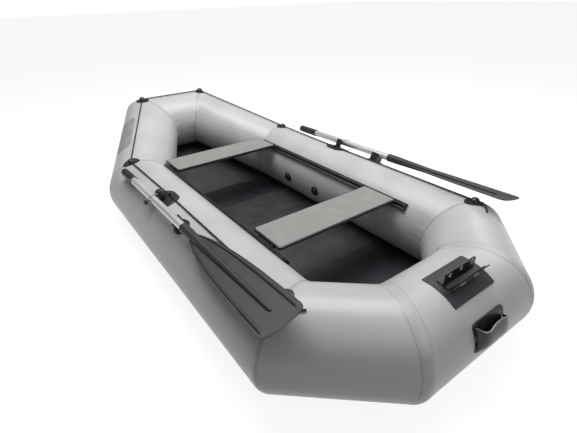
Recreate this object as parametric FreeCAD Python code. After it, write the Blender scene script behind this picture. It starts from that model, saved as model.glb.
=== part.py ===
import FreeCAD, Part
import math
import os
from FreeCAD import Placement, Rotation, Vector

# Inflatable rowing boat, in millimetres and degrees.
# +X points aft, +Y to starboard, +Z up; the origin is on the floor, at the middle of the length.
# Port pieces (at -Y) are modelled, and starboard ones are their mirror images.

os.makedirs("parts", exist_ok=True)

# ---- hull tubes ----
TUBE_R = 190.0
SIDE_Y = 510.0                # centre line of a side tube
BOW_TURN_X = -569.0           # where a side tube turns into the bow quarter
STERN_TURN_X = 965.0
BOW_X = -1210.0               # centre line of the bow end tube
BOW_END_Y = 191.5
BOW_RISE = 194.0
STERN_X = 1210.0
STERN_END_Y = 236.5
MID_SEAM_X = -20.0
SEAT = 0.3                    # running gap between a piece and the surface that it sits on

# ---- floor ----
FLOOR_TOP = 35.0
BOARD_THICK = 12.0
SHEET_THICK = 5.0
FLOOR_BOARD_LENGTH = 290.0
FLOOR_BOARDS_FROM = -564.0
FLOOR_FIRST_JOINT = -290.0
FLOOR_BOARDS_TO = 1075.0
FLOOR_BOARD_HALF = 388.0
FLOOR_BOARD_GAP = 2.0
FLOOR_TUBE_GAP = 8.0

# ---- bench rails ----
RAIL_ANGLE = 52.0             # inboard of the tube's top
RAIL_WIDTH = 40.0
RAIL_HEIGHT = 14.0
RAIL_BOW_GAP = 1.016            # from the bow quarter tube to the rail's end
RAIL_TO = 745.0
RAIL_END_WALL = 6.0
SLOT_FLOOR = 4.0
SLOT_WIDTH = 18.0
SLOT_HEIGHT = 6.0
SLOT_MOUTH = 9.0
RUNNER_GAP = 0.6
RUNNER_LENGTH = 110.0

# ---- benches ----
BENCH_END_INSET = 15.278        # from the rail's middle line to the bench's end
BENCH_WIDTH = 205.0
BENCH_THICK = 16.0
BENCH_RISE = 31.024             # above the tube's surface, under the rail's middle line
BENCH_CORNER_R = 14.0
FRONT_STOP_GAP = 2.3            # from the runner's foot to the slot's end
REAR_BENCH_X = 583.6
RUNNER_BLOCK_WIDTH = 27.0
RUNNER_BLOCK_HEIGHT = 9.0

# ---- air valves ----
VALVE_ANGLE = 96.0            # inboard of the tube's top
VALVE_X = (-174.0, 100.0)
VALVE_FLANGE_R = 29.0
VALVE_FLANGE_RISE = 4.0
VALVE_CAP_R = 21.0
VALVE_CAP_RISE = 13.0

# ---- rowlocks ----
ROWLOCK_X = 20.0
ROWLOCK_ANGLE = 18.0          # outboard of the tube's top
SWIVEL_LEAN = 24.0            # outboard lean of the swivel, which lifts the grip as the oar swings
ROWLOCK_PATCH = (62.0, 46.0)  # half length and half width
PATCH_THICK = 3.0
BOSS_R = 19.0
BOSS_RISE = 11.0
TURRET_R = 17.0
TURRET_RISE = 52.0
TURRET_GAP = 0.5
PIN_R = 4.0
PIN_RISE = 40.0
PIN_REACH = 40.0
PIN_END = 70.0
PIN_KNOB_R = 11.0
PIN_KNOB_LENGTH = 14.0
BAIL_R = 1.6
BAIL_SPREAD = 26.0

# ---- oars ----
OAR_RISE = 1.3
OAR_TOE = 0.35
OAR_GRIP_END = -446.0         # distances along the oar from the rowlock pin
OAR_GRIP_TO = -272.0
OAR_SOCKET_FROM = 375.0
OAR_SPINE_END = 1012.0
OAR_BLADE_FROM = 452.0
OAR_BLADE_END = 1085.0
SHAFT_R = 18.0
SHAFT_WALL = 1.8
SHAFT_OVERLAP = 60.0
GRIP_R = 21.0
SOCKET_R = 21.0
SOCKET_LENGTH = 80.0
SPINE_END_R = 8.0
BLADE_TILT = 13.0
BLADE_THICK = 4.0
BLADE_CORNER_R = 30.0
BLADE_HALF_WIDTHS = ((0.0, 15.0), (0.15, 44.0), (0.36, 66.0), (0.62, 78.0), (1.0, 82.0))
FIT_GAP = 0.05

# ---- oar holders ----
HOLDER_X = 310.0
HOLDER_LENGTH = 46.0
HOLDER_PATCH = (48.0, 38.0)
HOLDER_WALL = 7.0
HOLDER_SEAT_GAP = 0.4
HOLDER_ARM_RISE = 12.0

# ---- eyelets and grab line ----
LINE_R = 4.0
LINE_CLEAR = 1.0
LINE_LIFT = 8.0               # line's centre above the tube, in an eyelet
GUIDE_LIFT = 5.0
GUIDE_R = 9.0
EYELET_R = 23.0
EYELET_PATCH = (50.0, 35.0)
STERN_EYELET_ANGLE = 8.0
SIDE_EYELET_ANGLE = 12.0
GUIDE_ANGLE = 8.5
LINE_BEND_R = 45.0
LINE_PAST_EYELET = 24.0

# ---- loose ends of the grab line: a run straight on from the eyelet, and two more ----
TAIL_FIRST_RUN = 24.0
TAIL_STEPS = ((18, 11.5, -12.5), (15, 23, -0.6))

# ---- stern bracket ----
BRACKET_HALF = 84.0
BRACKET_PATCH = (112.0, 70.0)
BRACKET_PATCH_ANGLE = 14.0
BRACKET_PATCH_CORNER_R = 4.0
FLANGE_THICK = 5.0
FLANGE_RISE = 50.0
FLANGE_X = 38.0               # aft of the stern tube's centre line
LEAN_ANGLE = 32.0
LEAN_LENGTH = 46.0
BRACKET_FOOT = 26.0
BRACKET_HOLE_R = 5.5
BRACKET_HOLE_PITCH = 62.0
BRACKET_HOLE_RISE = 36.0
ROD_R = 2.5
ROD_FROM = -104.0
ROD_TO = 132.0

# ---- carry handles: a pocket's sides as (down, out) points from the middle of its base ----
HANDLE_Y = 3.0
HANDLE_ANGLE = 72.0
HANDLE_BASE = (88.0, 55.0)
HANDLE_BASE_CORNER_R = 18.0
HANDLE_HALF = 80.0
HANDLE_WALL = 4.0
POCKET_OUTSIDE = ((-30.0, 36.0), (20.0, 30.0), (44.0, 10.0), (50.0, -14.0), (-30.0, -14.0))
POCKET_INSIDE = ((-40.0, 32.0), (18.0, 26.0), (39.0, 8.0), (41.0, -14.0), (-40.0, -14.0))

# ---- plain bow patches ----
NAME_PATCH = (180.0, 62.0)
NAME_PATCH_ALONG = 380.0
NAME_PATCH_ANGLE = 36.0
NAME_PATCH_THICK = 1.2

FAR = 4000.0


def unit(vector):
    result = Vector(vector)
    result.normalize()
    return result


def mirrored(shape):
    return shape.mirror(Vector(0, 0, 0), Vector(0, 1, 0))


def save(name, shape):
    solids = shape.Solids
    whole = solids[0] if len(solids) == 1 else Part.makeCompound(solids)
    whole.exportStep("parts/" + name + ".step")


def save_pair(name, shape):
    save("port_" + name, shape)
    save("starboard_" + name, mirrored(shape))


def frame_at(origin, along, normal):
    """Local X runs along, local Z follows normal."""
    side = normal.cross(along)
    return Placement(origin, Rotation(along, side, normal, "ZXY"))


def behind(point, normal):
    """The half space on the far side of normal, from a plane through point."""
    block = Part.makeBox(FAR, FAR, FAR, Vector(-FAR / 2, -FAR / 2, -FAR))
    block.Placement = Placement(point, Rotation(Vector(0, 0, 1), normal))
    return block


def rounded_path(points, radii):
    """Straight runs joined by tangent arcs, as one wire."""
    edges = []
    last = points[0]
    for before, corner, after, radius in zip(points, points[1:], points[2:], radii):
        into, out = unit(corner - before), unit(after - corner)
        turn = into.getAngle(out)
        cut = radius * math.tan(turn / 2)
        first, final = corner - into * cut, corner + out * cut
        inward = unit(out - into)
        centre = corner + inward * (radius / math.cos(turn / 2))
        edges.append(Part.LineSegment(last, first).toShape())
        edges.append(Part.Arc(first, centre - inward * radius, final).toShape())
        last = final
    edges.append(Part.LineSegment(last, points[-1]).toShape())
    return Part.Wire(edges)


def rod_along(path, radius):
    start = path.Edges[0]
    heading = start.tangentAt(start.FirstParameter)
    section = Part.Wire(Part.makeCircle(radius, start.valueAt(start.FirstParameter), heading))
    return path.makePipeShell([section], True, False)


# ---- centre lines ----
MID = Vector(MID_SEAM_X, -SIDE_Y, TUBE_R)
BOW_TURN = Vector(BOW_TURN_X, -SIDE_Y, TUBE_R)
BOW_CORNER = Vector(BOW_X, -BOW_END_Y, TUBE_R + BOW_RISE)
STERN_TURN = Vector(STERN_TURN_X, -SIDE_Y, TUBE_R)
STERN_CORNER = Vector(STERN_X, -STERN_END_Y, TUBE_R)

FORWARD, AFT, TO_STARBOARD = Vector(-1, 0, 0), Vector(1, 0, 0), Vector(0, 1, 0)
BOW_WAY = unit(BOW_CORNER - BOW_TURN)
STERN_WAY = unit(STERN_CORNER - STERN_TURN)
CUT_BOW_TURN = unit(FORWARD + BOW_WAY)
CUT_BOW_CORNER = unit(BOW_WAY + TO_STARBOARD)
CUT_STERN_TURN = unit(AFT + STERN_WAY)
CUT_STERN_CORNER = unit(STERN_WAY + TO_STARBOARD)


def length_of_tube(start, end, start_cut, end_cut, radius):
    along = unit(end - start)
    spare = 2 * radius
    body = Part.makeCylinder(radius, (end - start).Length + 2 * spare, start - along * spare, along)
    return body.common(behind(end, end_cut)).common(behind(start, start_cut * -1))


def port_tubes(radius):
    return {
        "forward_side_tube": length_of_tube(MID, BOW_TURN, FORWARD, CUT_BOW_TURN, radius),
        "bow_quarter_tube": length_of_tube(BOW_TURN, BOW_CORNER, CUT_BOW_TURN, CUT_BOW_CORNER, radius),
        "stern_side_tube": length_of_tube(MID, STERN_TURN, AFT, CUT_STERN_TURN, radius),
        "stern_quarter_tube": length_of_tube(STERN_TURN, STERN_CORNER, CUT_STERN_TURN, CUT_STERN_CORNER, radius),
    }


def flipped(vector):
    return Vector(vector.x, -vector.y, vector.z)


def end_tubes(radius):
    bow_far, stern_far = flipped(CUT_BOW_CORNER) * -1, flipped(CUT_STERN_CORNER) * -1
    return {
        "bow_end_tube": length_of_tube(BOW_CORNER, flipped(BOW_CORNER), CUT_BOW_CORNER, bow_far, radius),
        "stern_end_tube": length_of_tube(STERN_CORNER, flipped(STERN_CORNER), CUT_STERN_CORNER, stern_far, radius),
    }


def all_tubes(radius):
    port = list(port_tubes(radius).values())
    return port + [mirrored(tube) for tube in port] + list(end_tubes(radius).values())


def tubes_named(names, radius):
    known = {**port_tubes(radius), **end_tubes(radius)}
    chosen = [known[name] for name in names]
    return chosen[0] if len(chosen) == 1 else chosen[0].multiFuse(chosen[1:])


def clear_of_tubes(shape, names):
    return shape.cut(tubes_named(names, TUBE_R + SEAT))


def on_side(x, angle, lift=0.0):
    """A point on the port side tube, angle outboard of its top."""
    reach = TUBE_R + lift
    turn = math.radians(angle)
    return Vector(x, -SIDE_Y - reach * math.sin(turn), TUBE_R + reach * math.cos(turn))


def side_normal(angle):
    turn = math.radians(angle)
    return Vector(0, -math.sin(turn), math.cos(turn))


def oval(half_length, half_width):
    if half_length >= half_width:
        return Part.Face(Part.Wire(Part.Ellipse(Vector(0, 0, 0), half_length, half_width).toShape()))
    face = Part.Face(Part.Wire(Part.Ellipse(Vector(0, 0, 0), half_width, half_length).toShape()))
    return face.rotate(Vector(0, 0, 0), Vector(0, 0, 1), 90)


def rounded_oblong(half_length, half_width, corner):
    block = Part.makeBox(2 * half_length, 2 * half_width, 1, Vector(-half_length, -half_width, 0))
    upright = [edge for edge in block.Edges if abs(edge.tangentAt(edge.FirstParameter).z) > 0.5]
    block = block.makeFillet(corner, upright)
    return min(block.Faces, key=lambda face: face.CenterOfMass.z)


def patch(outline, place, names, thick, depth=80.0):
    """A skin of the given thickness on the named tubes, inside an outline seen along the local Z."""
    prism = outline.extrude(Vector(0, 0, 2 * depth))
    prism.translate(Vector(0, 0, -depth))
    prism.Placement = place.multiply(prism.Placement)
    skin = tubes_named(names, TUBE_R + SEAT + thick)
    return clear_of_tubes(prism.common(skin), names)


def make_tubes():
    for name, tube in port_tubes(TUBE_R).items():
        save_pair(name, tube)
    for name, tube in end_tubes(TUBE_R).items():
        save(name, tube)


# ---- floor ----
SHEET_TOP = FLOOR_TOP - BOARD_THICK - SEAT
SHEET_BASE = SHEET_TOP - SHEET_THICK


def sheet_between(corners):
    both = corners + [flipped(corner) for corner in reversed(corners)]
    face = Part.Face(Part.makePolygon(both + both[:1]))
    sheet = face.extrude(Vector(0, 0, SHEET_THICK))
    for tube in all_tubes(TUBE_R + SEAT):
        sheet = sheet.cut(tube)
    return max(sheet.Solids, key=lambda solid: solid.Volume)


def make_sheets():
    down = Vector(0, 0, SHEET_BASE - TUBE_R)
    save("bottom_sheet", sheet_between([BOW_TURN + down, STERN_TURN + down, STERN_CORNER + down]))
    save("bow_sheet", sheet_between([BOW_TURN + down, BOW_CORNER + down]))


def make_floor_boards():
    joints = [FLOOR_BOARDS_FROM, FLOOR_FIRST_JOINT]
    while joints[-1] + FLOOR_BOARD_LENGTH < FLOOR_BOARDS_TO - FLOOR_BOARD_LENGTH / 2:
        joints.append(joints[-1] + FLOOR_BOARD_LENGTH)
    joints.append(FLOOR_BOARDS_TO)
    quarter = port_tubes(TUBE_R + FLOOR_TUBE_GAP)["stern_quarter_tube"]
    base = FLOOR_TOP - BOARD_THICK
    for number, (start, end) in enumerate(zip(joints, joints[1:]), 1):
        length = end - start - FLOOR_BOARD_GAP
        corner = Vector(start + FLOOR_BOARD_GAP / 2, -FLOOR_BOARD_HALF, base)
        board = Part.makeBox(length, 2 * FLOOR_BOARD_HALF, BOARD_THICK, corner)
        if end > STERN_TURN_X - TUBE_R:
            board = board.cut(quarter).cut(mirrored(quarter))
            board = max(board.Solids, key=lambda solid: solid.Volume)
        save("floor_board_%d" % number, board)


# ---- rails and benches ----
RAIL_NORMAL = side_normal(-RAIL_ANGLE)
RAIL_UP = AFT.cross(RAIL_NORMAL)
RAIL_BASE = TUBE_R + SEAT


def mitre_reach(radius, angle):
    """How far aft of the bow turn its mitre lies, at a radius and an angle inboard of the tube's top."""
    turn = math.radians(angle)
    across = Vector(0, math.sin(turn), math.cos(turn)) * radius
    quarter = unit(BOW_CORNER - BOW_TURN)
    return across.dot(quarter) / (1 - quarter.x)


RAIL_FROM = BOW_TURN_X + mitre_reach(TUBE_R + SEAT, RAIL_ANGLE) + RAIL_BOW_GAP
BENCH_HALF = SIDE_Y - TUBE_R * math.sin(math.radians(RAIL_ANGLE)) - BENCH_END_INSET
BENCH_TOP = TUBE_R + TUBE_R * math.cos(math.radians(RAIL_ANGLE)) + BENCH_RISE
FRONT_BENCH_X = RAIL_FROM + RAIL_END_WALL + FRONT_STOP_GAP + RUNNER_LENGTH / 2


def rail_point(x, across, height):
    """A point by the port rail: across is towards the tube's top, height is above the rail's base."""
    centre = Vector(x, -SIDE_Y, TUBE_R)
    return centre + RAIL_NORMAL * (RAIL_BASE + height) + RAIL_UP * across


def rail_bar(x_from, x_to, section):
    corners = [rail_point(x_from, across, height) for across, height in section]
    face = Part.Face(Part.makePolygon(corners + corners[:1]))
    return face.extrude(Vector(x_to - x_from, 0, 0))


def box_section(half, low, high):
    return [(-half, low), (half, low), (half, high), (-half, high)]


def make_rails():
    rail = rail_bar(RAIL_FROM, RAIL_TO, box_section(RAIL_WIDTH / 2, 0, RAIL_HEIGHT))
    slot_from, slot_to = RAIL_FROM + RAIL_END_WALL, RAIL_TO - RAIL_END_WALL
    ceiling = SLOT_FLOOR + SLOT_HEIGHT
    slot = rail_bar(slot_from, slot_to, box_section(SLOT_WIDTH / 2, SLOT_FLOOR, ceiling))
    mouth = rail_bar(slot_from, slot_to, box_section(SLOT_MOUTH / 2, ceiling - 1, RAIL_HEIGHT + 1))
    save_pair("bench_rail", rail.cut(slot.fuse(mouth)))


def bench_runner(centre_x):
    start, end = centre_x - RUNNER_LENGTH / 2, centre_x + RUNNER_LENGTH / 2
    ceiling = SLOT_FLOOR + SLOT_HEIGHT
    foot = rail_bar(start, end, box_section(SLOT_WIDTH / 2 - RUNNER_GAP, SLOT_FLOOR + RUNNER_GAP,
                                            ceiling - RUNNER_GAP))
    neck_top = RAIL_HEIGHT + 4
    neck = rail_bar(start, end, box_section(SLOT_MOUTH / 2 - RUNNER_GAP, ceiling - RUNNER_GAP - 1, neck_top))
    board_base = BENCH_TOP - BENCH_THICK
    low_inner = rail_point(start, -SLOT_MOUTH, RAIL_HEIGHT + 1)
    low_outer = rail_point(start, SLOT_MOUTH / 2 - RUNNER_GAP, RAIL_HEIGHT + 1)
    corners = [low_inner, low_outer, Vector(start, -BENCH_HALF, board_base),
               Vector(start, -BENCH_HALF + RUNNER_BLOCK_WIDTH, board_base),
               Vector(start, -BENCH_HALF + RUNNER_BLOCK_WIDTH, board_base - RUNNER_BLOCK_HEIGHT)]
    block = Part.Face(Part.makePolygon(corners + corners[:1])).extrude(Vector(end - start, 0, 0))
    below = Part.makeBox(FAR, FAR, FAR, Vector(-FAR / 2, -FAR / 2, board_base - FAR))
    return foot.fuse(neck).fuse(block).common(below).removeSplitter()


def make_benches():
    for name, centre_x in (("front", FRONT_BENCH_X), ("rear", REAR_BENCH_X)):
        corner = Vector(centre_x - BENCH_WIDTH / 2, -BENCH_HALF, BENCH_TOP - BENCH_THICK)
        board = Part.makeBox(BENCH_WIDTH, 2 * BENCH_HALF, BENCH_THICK, corner)
        upright = [edge for edge in board.Edges if abs(edge.tangentAt(edge.FirstParameter).z) > 0.5]
        save(name + "_bench_board", board.makeFillet(BENCH_CORNER_R, upright))
        runner = bench_runner(centre_x)
        save(name + "_bench_runners", Part.makeCompound([runner, mirrored(runner)]))


def make_valves():
    valves = []
    for x in VALVE_X:
        seat, out = on_side(x, -VALVE_ANGLE, -BOSS_RISE), side_normal(-VALVE_ANGLE)
        flange = Part.makeCylinder(VALVE_FLANGE_R, BOSS_RISE + VALVE_FLANGE_RISE, seat, out)
        cap = Part.makeCylinder(VALVE_CAP_R, BOSS_RISE + VALVE_CAP_RISE, seat, out)
        valve = clear_of_tubes(flange.fuse(cap), ["forward_side_tube", "stern_side_tube"])
        valves.append(max(valve.Solids, key=lambda solid: solid.Volume))
    save_pair("air_valves", Part.makeCompound(valves))


# ---- rowlocks and oars ----
SWIVEL_FOOT = on_side(ROWLOCK_X, ROWLOCK_ANGLE)
SWIVEL_AXIS = side_normal(SWIVEL_LEAN)
OUTBOARD = SWIVEL_AXIS.cross(FORWARD)
OAR_PIN = SWIVEL_FOOT + SWIVEL_AXIS * PIN_RISE + OUTBOARD * PIN_REACH
OAR_WAY = unit(Vector(1, math.tan(math.radians(OAR_TOE)), math.tan(math.radians(OAR_RISE))))
BLADE_NORMAL = unit(side_normal(BLADE_TILT) - OAR_WAY * side_normal(BLADE_TILT).dot(OAR_WAY))
OAR_FRAME = frame_at(OAR_PIN, OAR_WAY, BLADE_NORMAL)
SIDE_TUBES = ["forward_side_tube", "stern_side_tube"]


def in_oar(shape):
    shape.Placement = OAR_FRAME.multiply(shape.Placement)
    return shape


def make_rowlock_base(line_clear):
    place = frame_at(SWIVEL_FOOT, AFT, SWIVEL_AXIS)
    skin = patch(oval(*ROWLOCK_PATCH), place, SIDE_TUBES, PATCH_THICK)
    boss = Part.makeCylinder(BOSS_R, 2 * BOSS_RISE, SWIVEL_FOOT - SWIVEL_AXIS * BOSS_RISE, SWIVEL_AXIS)
    guide_top = on_side(ROWLOCK_X, GUIDE_ANGLE, GUIDE_LIFT)
    guide = Part.makeCylinder(GUIDE_R, 4 * LINE_R, guide_top - AFT * 2 * LINE_R, AFT)
    base = clear_of_tubes(skin.fuse(boss).fuse(guide), SIDE_TUBES)
    save_pair("rowlock_base", base.cut(line_clear).removeSplitter())


def make_rowlock_swivel():
    turret_base = SWIVEL_FOOT + SWIVEL_AXIS * (BOSS_RISE + TURRET_GAP)
    turret = Part.makeCylinder(TURRET_R, TURRET_RISE - BOSS_RISE - TURRET_GAP, turret_base, SWIVEL_AXIS)
    turret = turret.makeChamfer(3, [edge for edge in turret.Edges if edge.Length > TURRET_R * 5][:2])
    pin_start = SWIVEL_FOOT + SWIVEL_AXIS * PIN_RISE
    bore = Part.makeCylinder(PIN_R + FIT_GAP, PIN_END, pin_start, OUTBOARD)
    save_pair("rowlock_turret", turret.cut(bore))
    pin = Part.makeCylinder(PIN_R, PIN_END, pin_start, OUTBOARD)
    knob = Part.makeCylinder(PIN_KNOB_R, PIN_KNOB_LENGTH, pin_start + OUTBOARD * PIN_END, OUTBOARD)
    knob = knob.makeChamfer(2.5, knob.Edges)
    save_pair("rowlock_pin", pin.fuse(knob).removeSplitter())
    make_bail(pin_start)


def make_bail(pin_start):
    """A wire from the turret's aft side, over the shaft, down to the pin outside the shaft."""
    over = SHAFT_R + 3 * BAIL_R
    near = pin_start + OUTBOARD * (PIN_REACH - over) + AFT * (BAIL_SPREAD / 2)
    far = pin_start + OUTBOARD * (PIN_REACH + over) + AFT * (BAIL_SPREAD / 2)
    up = SWIVEL_AXIS * over
    points = [pin_start + AFT * (TURRET_R - 2) + OUTBOARD * 2 + SWIVEL_AXIS * 4, near + SWIVEL_AXIS * 8,
              near + up + AFT * BAIL_SPREAD / 2, far + up + AFT * BAIL_SPREAD / 2,
              far - AFT * (BAIL_SPREAD / 2 - PIN_R - BAIL_R)]
    wire = rounded_path(points, [6, 6, 6])
    bail = rod_along(wire, BAIL_R)
    turret = Part.makeCylinder(TURRET_R + FIT_GAP, TURRET_RISE, SWIVEL_FOOT, SWIVEL_AXIS)
    bail = max(bail.cut(turret).Solids, key=lambda solid: solid.Volume)
    save_pair("rowlock_bail", bail)


def make_shaft():
    start, end = OAR_GRIP_TO - SHAFT_OVERLAP, OAR_SOCKET_FROM + SHAFT_OVERLAP
    shaft = Part.makeCylinder(SHAFT_R, end - start, Vector(start, 0, 0), AFT)
    bore = Part.makeCylinder(SHAFT_R - SHAFT_WALL, end - start, Vector(start, 0, 0), AFT)
    pin_hole = Part.makeCylinder(PIN_R + FIT_GAP, PIN_END, SWIVEL_FOOT + SWIVEL_AXIS * PIN_RISE, OUTBOARD)
    save_pair("oar_shaft", in_oar(shaft.cut(bore)).cut(pin_hole))


def make_grip():
    length = OAR_GRIP_TO - OAR_GRIP_END
    grip = Part.makeCylinder(GRIP_R, length, Vector(OAR_GRIP_END, 0, 0), AFT)
    grip = grip.makeFillet(7, [edge for edge in grip.Edges if edge.CenterOfMass.x < OAR_GRIP_END + 1])
    start = OAR_GRIP_TO - SHAFT_OVERLAP - FIT_GAP
    bore = Part.makeCylinder(SHAFT_R + FIT_GAP, SHAFT_OVERLAP + 1, Vector(start, 0, 0), AFT)
    save_pair("oar_grip", in_oar(grip.cut(bore)))


def blade_outline():
    length = OAR_BLADE_END - OAR_BLADE_FROM
    edge = [Vector(OAR_BLADE_FROM + share * length, half, 0) for share, half in BLADE_HALF_WIDTHS]
    tip_half = edge[-1].y
    edge[-1] = Vector(OAR_BLADE_END - BLADE_CORNER_R, tip_half, 0)
    upper = Part.BSplineCurve()
    upper.interpolate(edge)
    mid = math.sqrt(0.5) * BLADE_CORNER_R
    corner_centre = Vector(OAR_BLADE_END - BLADE_CORNER_R, tip_half - BLADE_CORNER_R, 0)
    round_end = Vector(OAR_BLADE_END, tip_half - BLADE_CORNER_R, 0)
    corner = Part.Arc(edge[-1], corner_centre + Vector(mid, mid, 0), round_end)
    half = [upper.toShape(), corner.toShape()]
    other = [flat.mirror(Vector(0, 0, 0), Vector(0, 1, 0)) for flat in half]
    tip = Part.LineSegment(round_end, flipped(round_end)).toShape()
    root = Part.LineSegment(edge[0], flipped(edge[0])).toShape()
    return Part.Face(Part.Wire(Part.__sortEdges__(half + other + [tip, root])))


def make_blade():
    plate = blade_outline().extrude(Vector(0, 0, BLADE_THICK))
    plate.translate(Vector(0, 0, -BLADE_THICK / 2))
    socket = Part.makeCylinder(SOCKET_R, SOCKET_LENGTH, Vector(OAR_SOCKET_FROM, 0, 0), AFT)
    spine_from = OAR_SOCKET_FROM + SOCKET_LENGTH
    spine = Part.makeCone(SOCKET_R, SPINE_END_R, OAR_SPINE_END - spine_from, Vector(spine_from, 0, 0), AFT)
    bore = Part.makeCylinder(SHAFT_R + FIT_GAP, SHAFT_OVERLAP + FIT_GAP + 1, Vector(OAR_SOCKET_FROM - 1, 0, 0), AFT)
    blade = plate.fuse(socket).fuse(spine).cut(bore)
    save_pair("oar_blade", in_oar(blade.removeSplitter()))


def make_holder():
    """A rubber saddle under the shaft, with an inboard arm, open on the side that the oar leaves by."""
    along = (HOLDER_X - OAR_PIN.x) / OAR_WAY.x
    shaft_at = OAR_PIN + OAR_WAY * along
    centre = Vector(HOLDER_X, -SIDE_Y, TUBE_R)
    out = unit(shaft_at - centre)
    place = frame_at(centre + out * TUBE_R, AFT, out)
    skin = patch(oval(*HOLDER_PATCH), place, SIDE_TUBES, PATCH_THICK)
    hole_r = SHAFT_R + HOLDER_SEAT_GAP
    height = (shaft_at - centre).Length - TUBE_R
    depth = 2 * BOSS_RISE
    half = hole_r + HOLDER_WALL
    block = Part.makeBox(HOLDER_LENGTH, half * 2, depth + height, Vector(-HOLDER_LENGTH / 2, -half, -depth))
    arm = Part.makeBox(HOLDER_LENGTH, HOLDER_WALL, HOLDER_ARM_RISE + 1, Vector(-HOLDER_LENGTH / 2, -half, height - 1))
    block = block.fuse(arm)
    block.Placement = place
    reach = 3 * SHAFT_R
    start = shaft_at - OAR_WAY * HOLDER_LENGTH
    bore = Part.makeCylinder(hole_r, 2 * HOLDER_LENGTH, start, OAR_WAY)
    rise = unit(SWIVEL_AXIS - OAR_WAY * SWIVEL_AXIS.dot(OAR_WAY))
    away = OAR_WAY.cross(rise)
    low, high = start - rise * hole_r, start + rise * reach
    slab = Part.Face(Part.makePolygon([low, low + away * reach, high + away * reach, high, low]))
    sweep = slab.extrude(OAR_WAY * 2 * HOLDER_LENGTH)
    holder = clear_of_tubes(block.cut(bore).cut(sweep).fuse(skin), SIDE_TUBES)
    save_pair("oar_holder", max(holder.removeSplitter().Solids, key=lambda solid: solid.Volume))


# ---- grab line and eyelets ----
def on_cut(start, way, point, normal):
    """Where a line meets a cutting plane."""
    return start + way * ((point - start).dot(normal) / way.dot(normal))


def line_points():
    stern = on_cut(on_side(0, STERN_EYELET_ANGLE, LINE_LIFT), AFT, STERN_TURN, CUT_STERN_TURN)
    guide = on_side(ROWLOCK_X, GUIDE_ANGLE, GUIDE_LIFT)
    side = on_cut(on_side(0, SIDE_EYELET_ANGLE, LINE_LIFT), FORWARD, BOW_TURN, CUT_BOW_TURN)
    bow = on_cut(side, BOW_WAY, BOW_CORNER, CUT_BOW_CORNER)
    return stern, guide, side, bow


def grab_line(radius):
    stern, guide, side, bow = line_points()
    stern = stern + AFT * LINE_PAST_EYELET
    port = [stern, guide, side, bow]
    points = port + [flipped(point) for point in reversed(port)]
    bends = [LINE_BEND_R * 20, LINE_BEND_R * 2, LINE_BEND_R]
    return rod_along(rounded_path(points, bends + bends[::-1]), radius)


def eyelet(point, normal, along, names, line_clear):
    foot = point - normal * LINE_LIFT
    place = frame_at(foot, along, normal)
    skin = patch(oval(EYELET_PATCH[1], EYELET_PATCH[0]), place, names, PATCH_THICK)
    dome = Part.makeSphere(EYELET_R, foot)
    whole = clear_of_tubes(skin.fuse(dome), names)
    whole = max(whole.Solids, key=lambda solid: solid.Volume)
    whole = max(whole.cut(line_clear).Solids, key=lambda solid: solid.Volume)
    return whole


def make_eyelets(line_clear):
    stern, _, side, bow = line_points()
    side_up, stern_up = side_normal(SIDE_EYELET_ANGLE), side_normal(STERN_EYELET_ANGLE)
    bow_up = unit(side_normal(0) + BOW_WAY * -BOW_WAY.z / 2)
    save_pair("stern_eyelet", eyelet(stern, stern_up, CUT_STERN_TURN, ["stern_side_tube", "stern_quarter_tube"],
                                     line_clear))
    save_pair("side_eyelet", eyelet(side, side_up, unit(Vector(CUT_BOW_TURN.x, CUT_BOW_TURN.y, 0)),
                                    ["forward_side_tube", "bow_quarter_tube"], line_clear))
    save_pair("bow_eyelet", eyelet(bow, bow_up, unit(Vector(CUT_BOW_CORNER.x, CUT_BOW_CORNER.y, 0)),
                                   ["bow_quarter_tube", "bow_end_tube"], line_clear))


def make_line_tails():
    stern, guide, _, _ = line_points()
    mouth = stern + AFT * LINE_PAST_EYELET
    points = [mouth, mouth + unit(mouth - guide) * TAIL_FIRST_RUN]
    for step in TAIL_STEPS:
        points.append(points[-1] + Vector(*step))
    runs = [(after - before).Length for before, after in zip(points, points[1:])]
    radii = []
    for index in range(1, len(points) - 1):
        turn = (points[index] - points[index - 1]).getAngle(points[index + 1] - points[index])
        radii.append(0.45 * min(runs[index - 1], runs[index]) / math.tan(turn / 2))
    path = rounded_path(points, radii)
    print("tail points", [tuple(round(value, 1) for value in point) for point in points])
    print("tail arcs", [round(radius, 1) for radius in radii], "length", round(path.Length, 1))
    save_pair("line_tail", rod_along(path, LINE_R))


# ---- stern fittings ----
STERN_CENTRE = Vector(STERN_X, 0, TUBE_R)


def on_stern(angle, lift=0.0):
    turn = math.radians(angle)
    return STERN_CENTRE + Vector(math.sin(turn), 0, math.cos(turn)) * (TUBE_R + lift)


def end_normal(angle):
    turn = math.radians(angle)
    return Vector(math.sin(turn), 0, math.cos(turn))


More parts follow.
